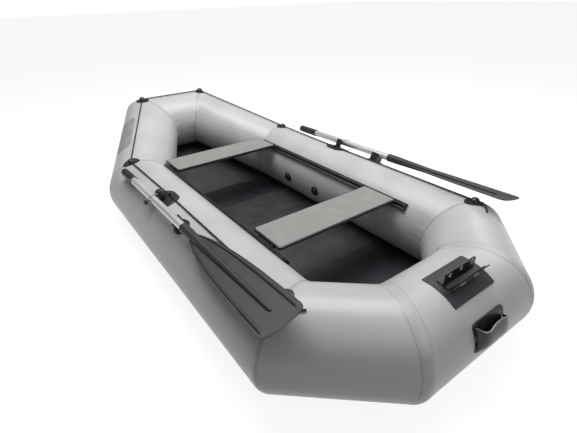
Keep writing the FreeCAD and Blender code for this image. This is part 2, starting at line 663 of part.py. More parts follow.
def make_bracket():
    up = end_normal(BRACKET_PATCH_ANGLE)
    place = frame_at(on_stern(BRACKET_PATCH_ANGLE), TO_STARBOARD, up)
    outline = rounded_oblong(BRACKET_PATCH[0], BRACKET_PATCH[1], BRACKET_PATCH_CORNER_R)
    save("bracket_patch", patch(outline, place, ["stern_end_tube"], PATCH_THICK))

    skin_r = TUBE_R + SEAT + PATCH_THICK + SEAT
    angle = math.degrees(math.asin(FLANGE_X / skin_r))
    foot_at = STERN_CENTRE + end_normal(angle) * skin_r
    width = 2 * BRACKET_HALF
    upright = Part.makeBox(FLANGE_THICK, width, FLANGE_RISE + 10, foot_at + Vector(0, -BRACKET_HALF, -10))
    upright = round_top(upright, foot_at.z + FLANGE_RISE)
    for step in (-1, 0, 1):
        at = foot_at + Vector(-1, step * BRACKET_HOLE_PITCH, BRACKET_HOLE_RISE)
        upright = upright.cut(Part.makeCylinder(BRACKET_HOLE_R, FLANGE_THICK + 2, at, AFT))
    lean_at = STERN_CENTRE + end_normal(angle + 5.5) * skin_r
    leaning = Part.makeBox(FLANGE_THICK, width, LEAN_LENGTH + 10, lean_at + Vector(0, -BRACKET_HALF, -10))
    leaning = round_top(leaning, lean_at.z + LEAN_LENGTH)
    leaning = leaning.rotate(lean_at, Vector(0, 1, 0), LEAN_ANGLE)
    foot = Part.makeBox(BRACKET_FOOT * 2, width, 16, foot_at + Vector(-BRACKET_FOOT, -BRACKET_HALF, -8))
    foot = foot.rotate(foot_at, Vector(0, 1, 0), angle)
    foot = foot.common(Part.makeCylinder(skin_r + 4, width, STERN_CENTRE + Vector(0, -BRACKET_HALF, 0), TO_STARBOARD))
    bracket = upright.fuse(leaning).fuse(foot)
    bracket = bracket.cut(Part.makeCylinder(skin_r, 2 * width, STERN_CENTRE + Vector(0, -width, 0), TO_STARBOARD))
    lean_way = end_normal(LEAN_ANGLE)
    rod_at = lean_at + lean_way * 12 + Vector(FLANGE_THICK + ROD_R + 1, 0, 0)
    rod = Part.makeCylinder(ROD_R, ROD_TO - ROD_FROM, rod_at + Vector(0, ROD_FROM, 0), TO_STARBOARD)
    loops = Part.makeCylinder(ROD_R + 2.5, width, rod_at + Vector(0, -BRACKET_HALF, 0), TO_STARBOARD)
    bore = Part.makeCylinder(ROD_R + FIT_GAP, 2 * width, rod_at + Vector(0, -width, 0), TO_STARBOARD)
    save("mounting_bracket", bracket.fuse(loops).cut(bore).removeSplitter())
    save("bracket_rod", rod)
    print("bracket holes at", foot_at + Vector(FLANGE_THICK, 0, BRACKET_HOLE_RISE))


def round_top(plate, top):
    corners = [edge for edge in plate.Edges
               if edge.CenterOfMass.z > top - 1 and abs(edge.tangentAt(edge.FirstParameter).x) > 0.5]
    return plate.makeFillet(10, corners)


def pocket_block(section, half, place):
    corners = [Vector(-half, down, out) for down, out in section]
    block = Part.Face(Part.makePolygon(corners + corners[:1])).extrude(Vector(2 * half, 0, 0))
    block.Placement = place
    return block


def make_handles():
    """A moulded pocket, open upward, on a base that follows the tube."""
    out = end_normal(HANDLE_ANGLE)
    place = frame_at(out * TUBE_R, TO_STARBOARD * -1, out)
    length = 4 * HANDLE_HALF
    core = Part.makeCylinder(TUBE_R + SEAT, length, Vector(0, -length / 2, 0), TO_STARBOARD)
    fat = Part.makeCylinder(TUBE_R + SEAT + PATCH_THICK, length, Vector(0, -length / 2, 0), TO_STARBOARD)
    prism = rounded_oblong(HANDLE_BASE[0], HANDLE_BASE[1], HANDLE_BASE_CORNER_R).extrude(Vector(0, 0, TUBE_R))
    prism.translate(Vector(0, 0, -TUBE_R / 2))
    prism.Placement = place.multiply(prism.Placement)
    pocket = pocket_block(POCKET_OUTSIDE, HANDLE_HALF, place)
    pocket = pocket.cut(pocket_block(POCKET_INSIDE, HANDLE_HALF - HANDLE_WALL, place))
    handle = prism.common(fat).fuse(pocket).cut(core).removeSplitter()
    handle = max(handle.Solids, key=lambda solid: solid.Volume)
    stern = handle.copy()
    stern.translate(Vector(STERN_X, HANDLE_Y, TUBE_R))
    save("stern_handle", stern)
    bow = handle.rotate(Vector(0, 0, 0), Vector(0, 0, 1), 180)
    bow.translate(Vector(BOW_X, 0, TUBE_R + BOW_RISE))
    save("bow_handle", bow)


def make_bow_patches():
    outboard = unit(Vector(0, 0, 1).cross(BOW_WAY) * -1)
    if outboard.y > 0:
        outboard = outboard * -1
    up = unit(BOW_WAY.cross(outboard))
    if up.z < 0:
        up = up * -1
    turn = math.radians(NAME_PATCH_ANGLE)
    normal = up * math.cos(turn) + outboard * math.sin(turn)
    at = BOW_TURN + BOW_WAY * NAME_PATCH_ALONG + normal * TUBE_R
    outline = rounded_oblong(NAME_PATCH[0], NAME_PATCH[1], 40)
    place = frame_at(at, BOW_WAY, normal)
    save_pair("bow_patch", patch(outline, place, ["bow_quarter_tube"], NAME_PATCH_THICK))


def main():
    make_tubes()
    make_sheets()
    make_floor_boards()
    make_rails()
    make_benches()
    make_valves()
    line_clear = grab_line(LINE_R + LINE_CLEAR)
    save("grab_line", grab_line(LINE_R))
    make_line_tails()
    make_eyelets(line_clear)
    make_rowlock_base(line_clear)
    make_rowlock_swivel()
    make_shaft()
    make_grip()
    make_blade()
    make_holder()
    make_bracket()
    make_handles()
    make_bow_patches()


main()
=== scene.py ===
import math

import bmesh
import bpy
from mathutils import Matrix, Vector


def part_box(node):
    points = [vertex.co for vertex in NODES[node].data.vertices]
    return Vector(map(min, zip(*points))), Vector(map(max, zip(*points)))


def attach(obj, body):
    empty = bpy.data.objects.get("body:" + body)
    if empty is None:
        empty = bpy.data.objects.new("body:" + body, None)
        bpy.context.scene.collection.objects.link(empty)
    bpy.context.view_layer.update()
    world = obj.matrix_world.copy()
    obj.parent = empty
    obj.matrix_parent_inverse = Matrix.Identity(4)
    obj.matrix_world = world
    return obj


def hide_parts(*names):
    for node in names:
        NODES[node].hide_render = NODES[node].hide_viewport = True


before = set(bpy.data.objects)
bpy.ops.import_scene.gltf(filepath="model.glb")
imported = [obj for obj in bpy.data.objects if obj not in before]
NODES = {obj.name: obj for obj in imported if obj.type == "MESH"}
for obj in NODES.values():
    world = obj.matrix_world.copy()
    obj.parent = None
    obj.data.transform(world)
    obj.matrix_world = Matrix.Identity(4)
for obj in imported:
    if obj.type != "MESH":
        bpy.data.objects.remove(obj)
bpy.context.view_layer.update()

# Inflatable rowing boat, in metres: +X aft, +Y starboard, +Z up, standing on the floor at z = 0.
TUBE_R = 0.190
SIDE_Y = 0.510
MID_SEAM_X = -0.020
BOW_TURN = Vector((-0.569, -SIDE_Y, TUBE_R))
BOW_CORNER = Vector((-1.210, -0.1915, TUBE_R + 0.194))
STERN_TURN = Vector((0.965, -SIDE_Y, TUBE_R))
STERN_CORNER = Vector((1.210, -0.2365, TUBE_R))
AROUND = 128                  # points round a tube
CORNER_SOFTNESS = 0.020       # half length of the bend over a mitre
SIDES = (("port", -1), ("starboard", 1))


def flipped(point):
    return Vector((point.x, -point.y, point.z))


# ---- materials ----
TONE_ENDS = (0.35, 0.65)      # where a cloudy colour is fully dark and fully light
CLOUD_HEIGHT = 0.0006
GRAIN_HEIGHT = 0.0002
TAPE_TINT = (0.93, 0.93, 0.94)
SEAM_COLOR = (0.34, 0.34, 0.345)
SHAFT_STRETCH = (0.05, 1, 1)  # streaks run along the shaft


def new_material(name, color, rough, metallic=0.0):
    material = bpy.data.materials.new(name)
    material.use_nodes = True
    shader = material.node_tree.nodes["Principled BSDF"]
    shader.inputs["Base Color"].default_value = (*color, 1)
    shader.inputs["Roughness"].default_value = rough
    shader.inputs["Metallic"].default_value = metallic
    return material, shader


def node(material, kind, **values):
    made = material.node_tree.nodes.new(kind)
    for key, value in values.items():
        if key in made.inputs:
            made.inputs[key].default_value = value
        else:
            setattr(made, key, value)
    return made


def join(material, source, output, target, socket):
    material.node_tree.links.new(source.outputs[output], target.inputs[socket])


def object_noise(material, scale, detail=4.0, stretch=(1, 1, 1)):
    place = node(material, "ShaderNodeTexCoord")
    spread = node(material, "ShaderNodeMapping")
    spread.inputs["Scale"].default_value = stretch
    noise = node(material, "ShaderNodeTexNoise", Scale=scale, Detail=detail)
    join(material, place, "Object", spread, "Vector")
    join(material, spread, "Vector", noise, "Vector")
    return noise


def two_tone(material, noise, dark, light):
    ramp = node(material, "ShaderNodeValToRGB")
    for element, place, color in zip(ramp.color_ramp.elements, TONE_ENDS, (dark, light)):
        element.position = place
        element.color = (*color, 1)
    join(material, noise, "Fac", ramp, "Fac")
    return ramp


def rough_from(material, noise, low, high):
    spread = node(material, "ShaderNodeMapRange")
    spread.inputs["To Min"].default_value = low
    spread.inputs["To Max"].default_value = high
    join(material, noise, "Fac", spread, "Value")
    join(material, spread, "Result", material.node_tree.nodes["Principled BSDF"], "Roughness")


def bump_from(material, sources):
    """Chains bumps: each source is a node, its output, a strength and a height in metres."""
    last = None
    for source, output, strength, height in sources:
        bump = node(material, "ShaderNodeBump", Strength=strength, Distance=height)
        join(material, source, output, bump, "Height")
        if last:
            join(material, last, "Normal", bump, "Normal")
        last = bump
    join(material, last, "Normal", material.node_tree.nodes["Principled BSDF"], "Normal")


def surface(name, dark, light, rough, spread, scale, grain, grain_height=GRAIN_HEIGHT, metallic=0.0):
    """A general finish: cloudy colour, uneven gloss and a fine moulded or woven grain."""
    material, shader = new_material(name, light, rough, metallic)
    cloud = object_noise(material, scale)
    fine = object_noise(material, grain, 2.0)
    tone = two_tone(material, cloud, dark, light)
    join(material, tone, "Color", shader, "Base Color")
    rough_from(material, cloud, rough - spread, rough + spread)
    bump_from(material, [(cloud, "Fac", 0.15, CLOUD_HEIGHT), (fine, "Fac", 0.35, grain_height)])
    return material


def hull_fabric():
    """Coated fabric: a faint weave, soft broad gloss, and seam tape edges from the mesh's seam values."""
    material = surface("hull_fabric", dark=(0.475, 0.475, 0.465), light=(0.53, 0.53, 0.52),
                       rough=0.34, spread=0.05, scale=5.0, grain=1400.0, grain_height=0.00012)
    shader = material.node_tree.nodes["Principled BSDF"]
    tone = shader.inputs["Base Color"].links[0].from_node
    seam = node(material, "ShaderNodeAttribute", attribute_name="seam")
    tape = node(material, "ShaderNodeAttribute", attribute_name="tape")
    tinted = node(material, "ShaderNodeMix", data_type="RGBA", blend_type="MULTIPLY")
    darker = node(material, "ShaderNodeMix", data_type="RGBA")
    links = material.node_tree.links
    links.new(tape.outputs["Fac"], tinted.inputs[0])
    links.new(tone.outputs["Color"], tinted.inputs[6])
    tinted.inputs[7].default_value = (*TAPE_TINT, 1)
    links.new(seam.outputs["Fac"], darker.inputs[0])
    links.new(tinted.outputs[2], darker.inputs[6])
    darker.inputs[7].default_value = (*SEAM_COLOR, 1)
    links.new(darker.outputs[2], shader.inputs["Base Color"])
    return material


def shaft_metal():
    material, shader = new_material("shaft_aluminium", (0.72, 0.73, 0.74), 0.34, metallic=0.55)
    streaks = object_noise(material, 60.0, 3.0, SHAFT_STRETCH)
    tone = two_tone(material, streaks, (0.62, 0.63, 0.64), (0.80, 0.80, 0.81))
    join(material, tone, "Color", shader, "Base Color")
    rough_from(material, streaks, 0.26, 0.42)
    bump_from(material, [(streaks, "Fac", 0.2, 0.0001)])
    return material


HULL = hull_fabric()
BOTTOM = surface("bottom_fabric", dark=(0.011, 0.012, 0.015), light=(0.020, 0.021, 0.026),
                 rough=0.5, spread=0.08, scale=7.0, grain=1300.0)
BLADE = surface("blade_plastic", dark=(0.020, 0.020, 0.022), light=(0.030, 0.030, 0.033),
                rough=0.52, spread=0.05, scale=12.0, grain=900.0)
# painted highlight: a light grey that stands in for the thin light lines of gloss along the rails' inner
# ridges and the handle pockets' lips
EDGE = surface("painted_highlight_edge", dark=(0.13, 0.13, 0.14), light=(0.20, 0.20, 0.21),
               rough=0.35, spread=0.05, scale=60.0, grain=900.0)
GROMMET = new_material("grommet", (0.62, 0.63, 0.65), 0.28, metallic=0.6)[0]
TRIM = surface("trim_fabric", dark=(0.020, 0.020, 0.026), light=(0.038, 0.038, 0.046),
               rough=0.55, spread=0.08, scale=25.0, grain=1500.0)
PLAIN = surface("plain_patch", dark=(0.30, 0.30, 0.30), light=(0.36, 0.36, 0.36),
                rough=0.45, spread=0.06, scale=12.0, grain=1300.0)
PLASTIC = surface("black_plastic", dark=(0.012, 0.012, 0.013), light=(0.028, 0.028, 0.030),
                  rough=0.38, spread=0.08, scale=30.0, grain=1800.0)
SATIN = surface("satin_black", dark=(0.016, 0.016, 0.018), light=(0.034, 0.034, 0.037),
                rough=0.30, spread=0.06, scale=20.0, grain=900.0)
BOARD_BLUE = surface("board_blue_black", dark=(0.010, 0.011, 0.015), light=(0.020, 0.022, 0.028),
                     rough=0.45, spread=0.08, scale=14.0, grain=700.0)
# painted reflection: a lighter brownish grey copy of the board colour, standing in for the sheen that every
# other board catches at its tilt
BOARD_PAINTED_SHEEN = surface("board_painted_sheen", dark=(0.022, 0.020, 0.020), light=(0.036, 0.033, 0.032),
                      rough=0.48, spread=0.08, scale=14.0, grain=700.0)
BENCH_GREY = surface("bench_grey", dark=(0.243, 0.248, 0.233), light=(0.268, 0.273, 0.258),
                     rough=0.55, spread=0.06, scale=22.0, grain=1100.0)
STEEL = surface("steel", dark=(0.42, 0.42, 0.42), light=(0.60, 0.60, 0.60),
                rough=0.30, spread=0.08, scale=50.0, grain=900.0, metallic=1.0)
SHAFT = shaft_metal()
ROPE = surface("rope_black", dark=(0.012, 0.012, 0.013), light=(0.035, 0.035, 0.037),
               rough=0.7, spread=0.1, scale=120.0, grain=3000.0, grain_height=0.0003)


def paint(node_name, material):
    mesh = NODES[node_name].data
    mesh.materials.clear()
    mesh.materials.append(material)


# ---- mesh helpers ----
def piece(name, verts, faces, materials, body, face_slots=None):
    mesh = bpy.data.meshes.new(name)
    mesh.from_pydata([tuple(vert) for vert in verts], [], faces)
    for material in materials:
        mesh.materials.append(material)
    if face_slots:
        mesh.polygons.foreach_set("material_index", face_slots)
    mesh.polygons.foreach_set("use_smooth", [True] * len(mesh.polygons))
    mesh.update()
    made = bpy.data.objects.new(name, mesh)
    bpy.context.scene.collection.objects.link(made)
    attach(made, body)
    return made


def outward(made):
    """Turns a closed mesh's faces to point out."""
    work = bmesh.new()
    work.from_mesh(made.data)
    bmesh.ops.recalc_face_normals(work, faces=work.faces)
    work.to_mesh(made.data)
    work.free()


def grid_faces(rows, columns, closed_rows=False, closed_columns=True):
    faces = []
    for row in range(rows if closed_rows else rows - 1):
        below = (row + 1) % rows
        for column in range(columns if closed_columns else columns - 1):
            right = (column + 1) % columns
            faces.append((row * columns + column, row * columns + right,
                          below * columns + right, below * columns + column))
    return faces


def capped_faces(rings, around):
    """Faces of a closed form made of rings, with its two ends last."""
    faces = grid_faces(rings, around)
    faces.append(tuple(range(around)))
    faces.append(tuple(range((rings - 1) * around, rings * around)))
    return faces


def flat_list(rings):
    return [point for ring in rings for point in ring]


def rings_to_piece(name, rings, material, body):
    made = piece(name, flat_list(rings), capped_faces(len(rings), len(rings[0])), [material], body)
    outward(made)
    return made


def on_side(points, side):
    """The port side's points, or their mirror images for starboard."""
    return [flipped(point) for point in points] if side > 0 else points


def circle(count):
    """Angles that go once round."""
    return [2 * math.pi * step / count for step in range(count)]


def on_cut(start, way, point, normal):
    """Goes from a start along a way up to the plane through a point."""
    return start + way * ((point - start).dot(normal) / way.dot(normal))


# ---- hull ----
CORNERS = (BOW_TURN, BOW_CORNER, flipped(BOW_CORNER), flipped(BOW_TURN),
           flipped(STERN_TURN), flipped(STERN_CORNER), STERN_CORNER, STERN_TURN)
TAPED_CORNERS = (5, 6)        # the stern end tube's two mitres
SIDE_RUNS = (3, 7)            # the side tubes, which have a seam at mid-length
CORNER_SHARES = (0.0, 0.25, 0.5, 0.75, 1.0)
RING_SPACING = 0.045
RING_CLEAR = 0.11             # no evenly spaced ring nearer to a mitre
END_GAPS = (0.035, 0.05, 0.07)
END_REACH = 0.25              # largest share of a line that the end gaps take
SEAM_STRIP = 0.017            # from a taped mitre to its tape's edge
TAPE_EDGE = ((0.005, 0, 1), (0.0075, 1, 1), (0.010, 0, 0))     # past the strip: metres, line, tape
MID_SEAM = ((-0.0015, 0), (0.0, 1), (0.0015, 0))               # metres from the seam, line
TAPE_RISE = 0.0006
PUCKER_RISE = 0.0010
PUCKER_FADE = 0.045
PUCKER_OUTER = 0.4            # how strong the folds are on a tube's outer side
PUCKER_INNER = 0.9            # and how much stronger on its inner side


def turned(vector, before, after):
    """Carries a vector through the bend from one direction to the next."""
    return before.rotation_difference(after) @ vector


def smooth_corner(corner, before, after, share):
    start = corner - before * CORNER_SOFTNESS
    end = corner + after * CORNER_SOFTNESS
    return start * (1 - share) ** 2 + corner * 2 * share * (1 - share) + end * share ** 2


def pucker(angle, distance, sharpness):
    """Small folds that run off a mitre, in metres."""
    fade = math.exp(-abs(distance) / PUCKER_FADE)
    waves = math.sin(23 * angle + 1.3) * math.sin(9 * angle + 0.4) + 0.5 * math.sin(37 * angle)
    return PUCKER_RISE * sharpness * fade * waves


def on_skin(point, angle, out, outboard, distance, taped):
    """Moves a point of the plain tube out to the puckered and taped skin, never below the floor."""
    inner = max(0.0, -out.dot(outboard))
    point = point + out * (pucker(angle, distance, PUCKER_OUTER + PUCKER_INNER * inner) + TAPE_RISE * taped)
    point.z = max(point.z, 0.0)
    return point


def run_lines(start, end, way, up, first_cut, last_cut):
    """The lines along a tube from mitre to mitre: angle, outward direction and two ends."""
    side = way.cross(up)
    lines = []
    for angle in circle(AROUND):
        offset = (up * math.cos(angle) + side * math.sin(angle)) * TUBE_R
        first = on_cut(start + offset, way, start, first_cut)
        last = on_cut(end + offset, way, end, last_cut)
        lines.append((angle, offset.normalized(), first, last))
    return lines


def run_stations(length, mid_at, taped_start, taped_end):
    """A tube's rings: share of its length, metres past that, seam line and tape."""
    stations = []
    if taped_start:
        stations += [(0, SEAM_STRIP + past, line, taped) for past, line, taped in TAPE_EDGE]
    stations += [(0, gap, 0, 0) for gap in END_GAPS]
    parts = max(3, round(length / RING_SPACING))
    stations += [(part / parts, 0, 0, 0) for part in range(1, parts)
                 if RING_CLEAR < part * length / parts < length - RING_CLEAR]
    stations += [(1, -gap, 0, 0) for gap in reversed(END_GAPS)]
    if taped_end:
        stations += [(1, -(SEAM_STRIP + past), line, taped) for past, line, taped in reversed(TAPE_EDGE)]
    if mid_at is not None:
        stations += [((mid_at + gap) / length, 0, line, 0) for gap, line in MID_SEAM]
        stations.sort(key=lambda station: station[0] * length + station[1])
    return stations


def hull_rings():
    """Rings round the whole loop of tubes, with each ring's seam line and tape."""
    count = len(CORNERS)
    ways = [(CORNERS[(i + 1) % count] - CORNERS[i]).normalized() for i in range(count)]
    cuts = [(ways[i - 1] + ways[i]).normalized() for i in range(count)]
    up = Vector((0, 0, 1))
    rings, seam, tape = [], [], []
    for i in range(count):
        start, end, way = CORNERS[i], CORNERS[(i + 1) % count], ways[i]
        up = turned(up, ways[i - 1], way)
        length = (end - start).length
        outboard = Vector((start.x + end.x, start.y + end.y, 0)).normalized()
        lines = run_lines(start, end, way, up, cuts[i], cuts[(i + 1) % count])
        taped_start = i in TAPED_CORNERS
        for share in CORNER_SHARES:
            distance = (share - 0.5) * CORNER_SOFTNESS
            rings.append([on_skin(smooth_corner(first, ways[i - 1], way, share), angle, out, outboard,
                                  distance, taped_start) for angle, out, first, last in lines])
            seam.append(1.0 if share == 0.5 and not taped_start else 0.0)
            tape.append(float(taped_start))
        mid_at = abs(MID_SEAM_X - start.x) if i in SIDE_RUNS else None
        taped_end = (i + 1) % count in TAPED_CORNERS
        for share, past, line, taped in run_stations(length, mid_at, taped_start, taped_end):
            ring = []
            for angle, out, first, last in lines:
                reach = min(1.0, END_REACH * (last - first).length / END_GAPS[-1])
                point = first + (last - first) * share + way * past * reach
                distance = min((point - first).length, (point - last).length)
                ring.append(on_skin(point, angle, out, outboard, distance, taped))
            rings.append(ring)
            seam.append(float(line))
            tape.append(float(taped))
    return rings, seam, tape


def build_hull():
    rings, seam, tape = hull_rings()
    faces = grid_faces(len(rings), AROUND, closed_rows=True)
    made = piece("hull_skin", flat_list(rings), faces, [HULL], "hull")
    outward(made)
    for label, values in (("seam", seam), ("tape", tape)):
        attribute = made.data.attributes.new(label, "FLOAT", "POINT")
        attribute.data.foreach_set("value", [value for value in values for _ in range(AROUND)])
    tubes = [name for name in NODES if name.endswith("_tube")]
    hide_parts(*tubes)


# ---- benches ----
BENCH_CORNER_R = 0.014
BENCH_EDGE = 0.003            # chamfer round the top and bottom
BENCH_RIM = 0.0035            # dark rim round the pale top


def build_bench(which):
    low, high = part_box(which + "_bench_board")
    low, high = Vector(low), Vector(high)
    corner, edge = BENCH_CORNER_R, BENCH_EDGE
    outline = []
    middles = ((high.x - corner, high.y - corner, 0), (low.x + corner, high.y - corner, 90),
               (low.x + corner, low.y + corner, 180), (high.x - corner, low.y + corner, 270))
    for cx, cy, start in middles:
        for step in range(9):
            turn = math.radians(start + step * 11.25)
            outline.append((cx, cy, math.cos(turn), math.sin(turn)))
    levels = [(low.z, edge), (low.z + edge, 0), (high.z - edge, 0), (high.z - edge * 0.3, edge * 0.3),
              (high.z, edge), (high.z, edge + BENCH_RIM)]
    rings = []
    for z, inset in levels:
        turn_r = corner - inset
        rings.append([Vector((cx + turn_r * ux, cy + turn_r * uy, z)) for cx, cy, ux, uy in outline])
    faces = capped_faces(len(rings), len(outline))
    slots = [1] * (len(faces) - 1) + [0]
    materials = [BENCH_GREY, SATIN]
    made = piece(which + "_bench_panel", flat_list(rings), faces, materials, which + "_bench", slots)
    outward(made)
    made.data.set_sharp_from_angle(angle=math.radians(30))
    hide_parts(which + "_bench_board")
    paint(which + "_bench_runners", PLASTIC)


# ---- oars ----
OAR_RISE = math.radians(1.3)
OAR_TOE = math.radians(0.35)
BLADE_TILT = math.radians(13.0)
ROWLOCK_ANGLE = math.radians(18.0)
SWIVEL_LEAN = math.radians(24.0)
PIN_RISE = 0.040
PIN_REACH = 0.040
ROWLOCK_X = 0.020


def side_normal(angle):
    """The outward way of the port side tube, at an angle outboard of its top."""
    return Vector((0, -math.sin(angle), math.cos(angle)))


def side_point(x, angle, lift):
    return Vector((x, -SIDE_Y, TUBE_R)) + side_normal(angle) * (TUBE_R + lift)


def oar_axes():
    foot = Vector((ROWLOCK_X, -SIDE_Y, TUBE_R)) + side_normal(ROWLOCK_ANGLE) * TUBE_R
    axis = side_normal(SWIVEL_LEAN)
    out = axis.cross(Vector((-1, 0, 0)))
    pin = foot + axis * PIN_RISE + out * PIN_REACH
    way = Vector((1, math.tan(OAR_TOE), math.tan(OAR_RISE))).normalized()
    normal = side_normal(BLADE_TILT)
    normal = (normal - way * normal.dot(way)).normalized()
    return pin, way, normal.cross(way), normal


def on_oar(along, across, height, side):
    pin, way, sideways, normal = oar_axes()
    point = pin + way * along + sideways * across + normal * height
    return flipped(point) if side > 0 else point


BLADE_FROM = 0.452            # distances along the oar from the rowlock pin
BLADE_END = 1.085
SOCKET_FROM = 0.375
SPINE_END = 1.012
BLADE_HALF = ((0.0, 0.015), (0.06, 0.028), (0.15, 0.044), (0.25, 0.056), (0.36, 0.066), (0.5, 0.0735),
              (0.62, 0.078), (0.8, 0.081), (0.95, 0.082))
BLADE_TIP_R = 0.030
BLADE_ROWS = 70
BLADE_SHARES = (0.0, 0.1, 0.2, 0.3, 0.4, 0.5, 0.6, 0.68, 0.72, 0.735, 0.75, 0.77, 0.80, 0.83, 0.85,
                0.865, 0.88, 0.92, 0.955, 0.96, 0.985, 1.0)
BLADE_CUP = 0.0025
BLADE_SKIN = 0.0014           # from the middle surface to the face
BLADE_UNDER = 0.7             # the underside's share of that
RIB_AT = 0.80                 # shares of the blade's half width
RIB_HALF = 0.068
RIB_HEIGHT = 0.0046
RIB_FADES = (0.030, 0.040, 0.028, 0.006)      # bare at the root, growing; bare at the tip, growing
RIM_FROM = 0.957
RIM_HEIGHT = 0.0010
EDGE_THIN = 0.3
SPINE = ((SOCKET_FROM, 0.0215), (SOCKET_FROM + 0.006, 0.0225), (SOCKET_FROM + 0.012, 0.0215),
         (SOCKET_FROM + 0.055, 0.0212), (SOCKET_FROM + 0.085, 0.0205), (0.55, 0.0180), (0.70, 0.0140),
         (0.85, 0.0108), (0.95, 0.0090), (SPINE_END - 0.012, 0.0078), (SPINE_END, 0.0030))
GRIP_FROM = -0.446
GRIP_TO = -0.272
GRIP_R = 0.0205
GRIP_ROWS = 88
GRIP_ROUND_ROWS = 6           # rows of the rounded end
GRIP_COLLAR = 0.0015
GRIP_RIDGE = 0.0006


def blade_half(along):
    length = BLADE_END - BLADE_FROM
    share = (along - BLADE_FROM) / length
    half = BLADE_HALF[-1][1]
    for (a, low), (b, high) in zip(BLADE_HALF, BLADE_HALF[1:]):
        if a <= share <= b:
            t = (share - a) / (b - a)
            half = low + (high - low) * t
    past = along - (BLADE_END - BLADE_TIP_R)
    if past > 0:
        half -= BLADE_TIP_R - math.sqrt(max(0.0, BLADE_TIP_R ** 2 - past ** 2))
    return half


def blade_height(along, share):
    """The blade's middle surface: it cups a little from edge to edge, towards its tip."""
    depth = BLADE_CUP * min(1.0, max(0.0, (along - BLADE_FROM) / 0.3))
    return -depth * (1 - share ** 2)


def round_ring(along, radius, side, count):
    return [on_oar(along, radius * math.cos(t), radius * math.sin(t), side) for t in circle(count)]


def blade_thickness(along, across):
    rib = RIB_HEIGHT * math.sqrt(max(0.0, 1 - ((abs(across) - RIB_AT) / RIB_HALF) ** 2))
    root_bare, root_grow, tip_bare, tip_grow = RIB_FADES
    fade = min(1.0, (along - BLADE_FROM - root_bare) / root_grow, (BLADE_END - tip_bare - along) / tip_grow)
    rim = RIM_HEIGHT if abs(across) > RIM_FROM else 0.0
    edge = EDGE_THIN if abs(across) == 1.0 else 1.0
    return (BLADE_SKIN + rib * max(0.0, fade) + rim) * edge


def build_blade(label, side):
    shares = [-share for share in reversed(BLADE_SHARES[1:])] + list(BLADE_SHARES)
    top, bottom = [], []
    for row in range(BLADE_ROWS + 1):
        along = BLADE_FROM + (BLADE_END - BLADE_FROM - 0.0002) * (row / BLADE_ROWS) ** 0.85
        half = blade_half(along)
        for across in shares:
            middle = blade_height(along, across)
            thick = blade_thickness(along, across)
            top.append(on_oar(along, across * half, middle + thick, side))
            bottom.append(on_oar(along, across * half, middle - thick * BLADE_UNDER, side))
    rows, columns = BLADE_ROWS + 1, len(shares)
    size = rows * columns
    faces = grid_faces(rows, columns, closed_columns=False)
    faces += [tuple(index + size for index in reversed(face)) for face in faces]
    rim_loop = ([row * columns for row in range(rows)] + [(rows - 1) * columns + c for c in range(1, columns)]
                + [row * columns + columns - 1 for row in range(rows - 2, -1, -1)]
                + list(range(columns - 2, 0, -1)))
    for a, b in zip(rim_loop, rim_loop[1:] + rim_loop[:1]):
        faces.append((a, b, b + size, a + size))
    made = piece(label + "_blade", top + bottom, faces, [BLADE], label + "_oar")
    outward(made)
    made.data.set_sharp_from_angle(angle=math.radians(50))
    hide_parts(label + "_oar_blade")


def build_spine(label, side):
    """The socket round the shaft's end, and the spine that tapers from it down the blade."""
    rings = [round_ring(along, radius, side, 32) for along, radius in SPINE]
    spine = rings_to_piece(label + "_blade_socket", rings, BLADE, label + "_oar")
    spine.data.set_sharp_from_angle(angle=math.radians(40))


def build_grip(label, side):
    rings = []
    for row in range(GRIP_ROWS + 1):
        along = GRIP_FROM + (GRIP_TO - GRIP_FROM) * row / GRIP_ROWS
        radius = GRIP_R
        if row < GRIP_ROUND_ROWS:
            radius *= math.sin(math.radians(25 + 65 * row / GRIP_ROUND_ROWS))
        if row > GRIP_ROWS - 7:
            radius += GRIP_COLLAR
        if 10 < row < GRIP_ROWS - 8:
            radius += GRIP_RIDGE * math.sin(2 * math.pi * row / 4)
        rings.append(round_ring(along, radius, side, 40))
    made = rings_to_piece(label + "_grip_sleeve", rings, PLASTIC, label + "_oar")
    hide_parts(label + "_oar_grip")


# ---- carry handles ----
HANDLE_Y = 0.003
HANDLE_ANGLE = math.radians(72.0)
HANDLE_BASE = (0.088, 0.055)
HANDLE_BASE_CORNER_R = 0.018
HANDLE_HALF = 0.080
BASE_THICK = 0.0036
BASE_STEP = 0.001             # the base's field lies this far under its border
LIFT = 0.0004                 # what is glued on starts this far over the tube
POCKET_DEEP = ((-0.030, 1.0), (-0.012, 0.97), (0.008, 0.90), (0.024, 0.74), (0.036, 0.50), (0.045, 0.24),
               (0.050, 0.06))     # down from the handle's middle, and share of the bulge there
POCKET_COLUMNS = 49
POCKET_BULGE = 0.0318
POCKET_MOST = 0.0355
POCKET_WALL = 0.0035
LIP_DIP = 0.009
LIP_SLOPE = 0.017
LIP_RISE = 0.010


def handle_point(across, down, out, end):
    """A point by a handle: the stern's faces aft, and the bow's is the same thing turned round."""
    angle = HANDLE_ANGLE + down / TUBE_R
    reach = TUBE_R + out
    x, z = reach * math.sin(angle), reach * math.cos(angle)
    if end == "stern":
        return Vector((STERN_CORNER.x + x, HANDLE_Y + across, TUBE_R + z))
    return Vector((BOW_CORNER.x - x, -across, BOW_CORNER.z + z))


def oblong(half_length, half_width, corner, steps=8):
    points = []
    for sx, sy, start in ((1, 1, 0), (-1, 1, 90), (-1, -1, 180), (1, -1, 270)):
        for step in range(steps + 1):
            turn = math.radians(start + 90 * step / steps)
            points.append((sx * (half_length - corner) + corner * math.cos(turn),
                           sy * (half_width - corner) + corner * math.sin(turn)))
    return points


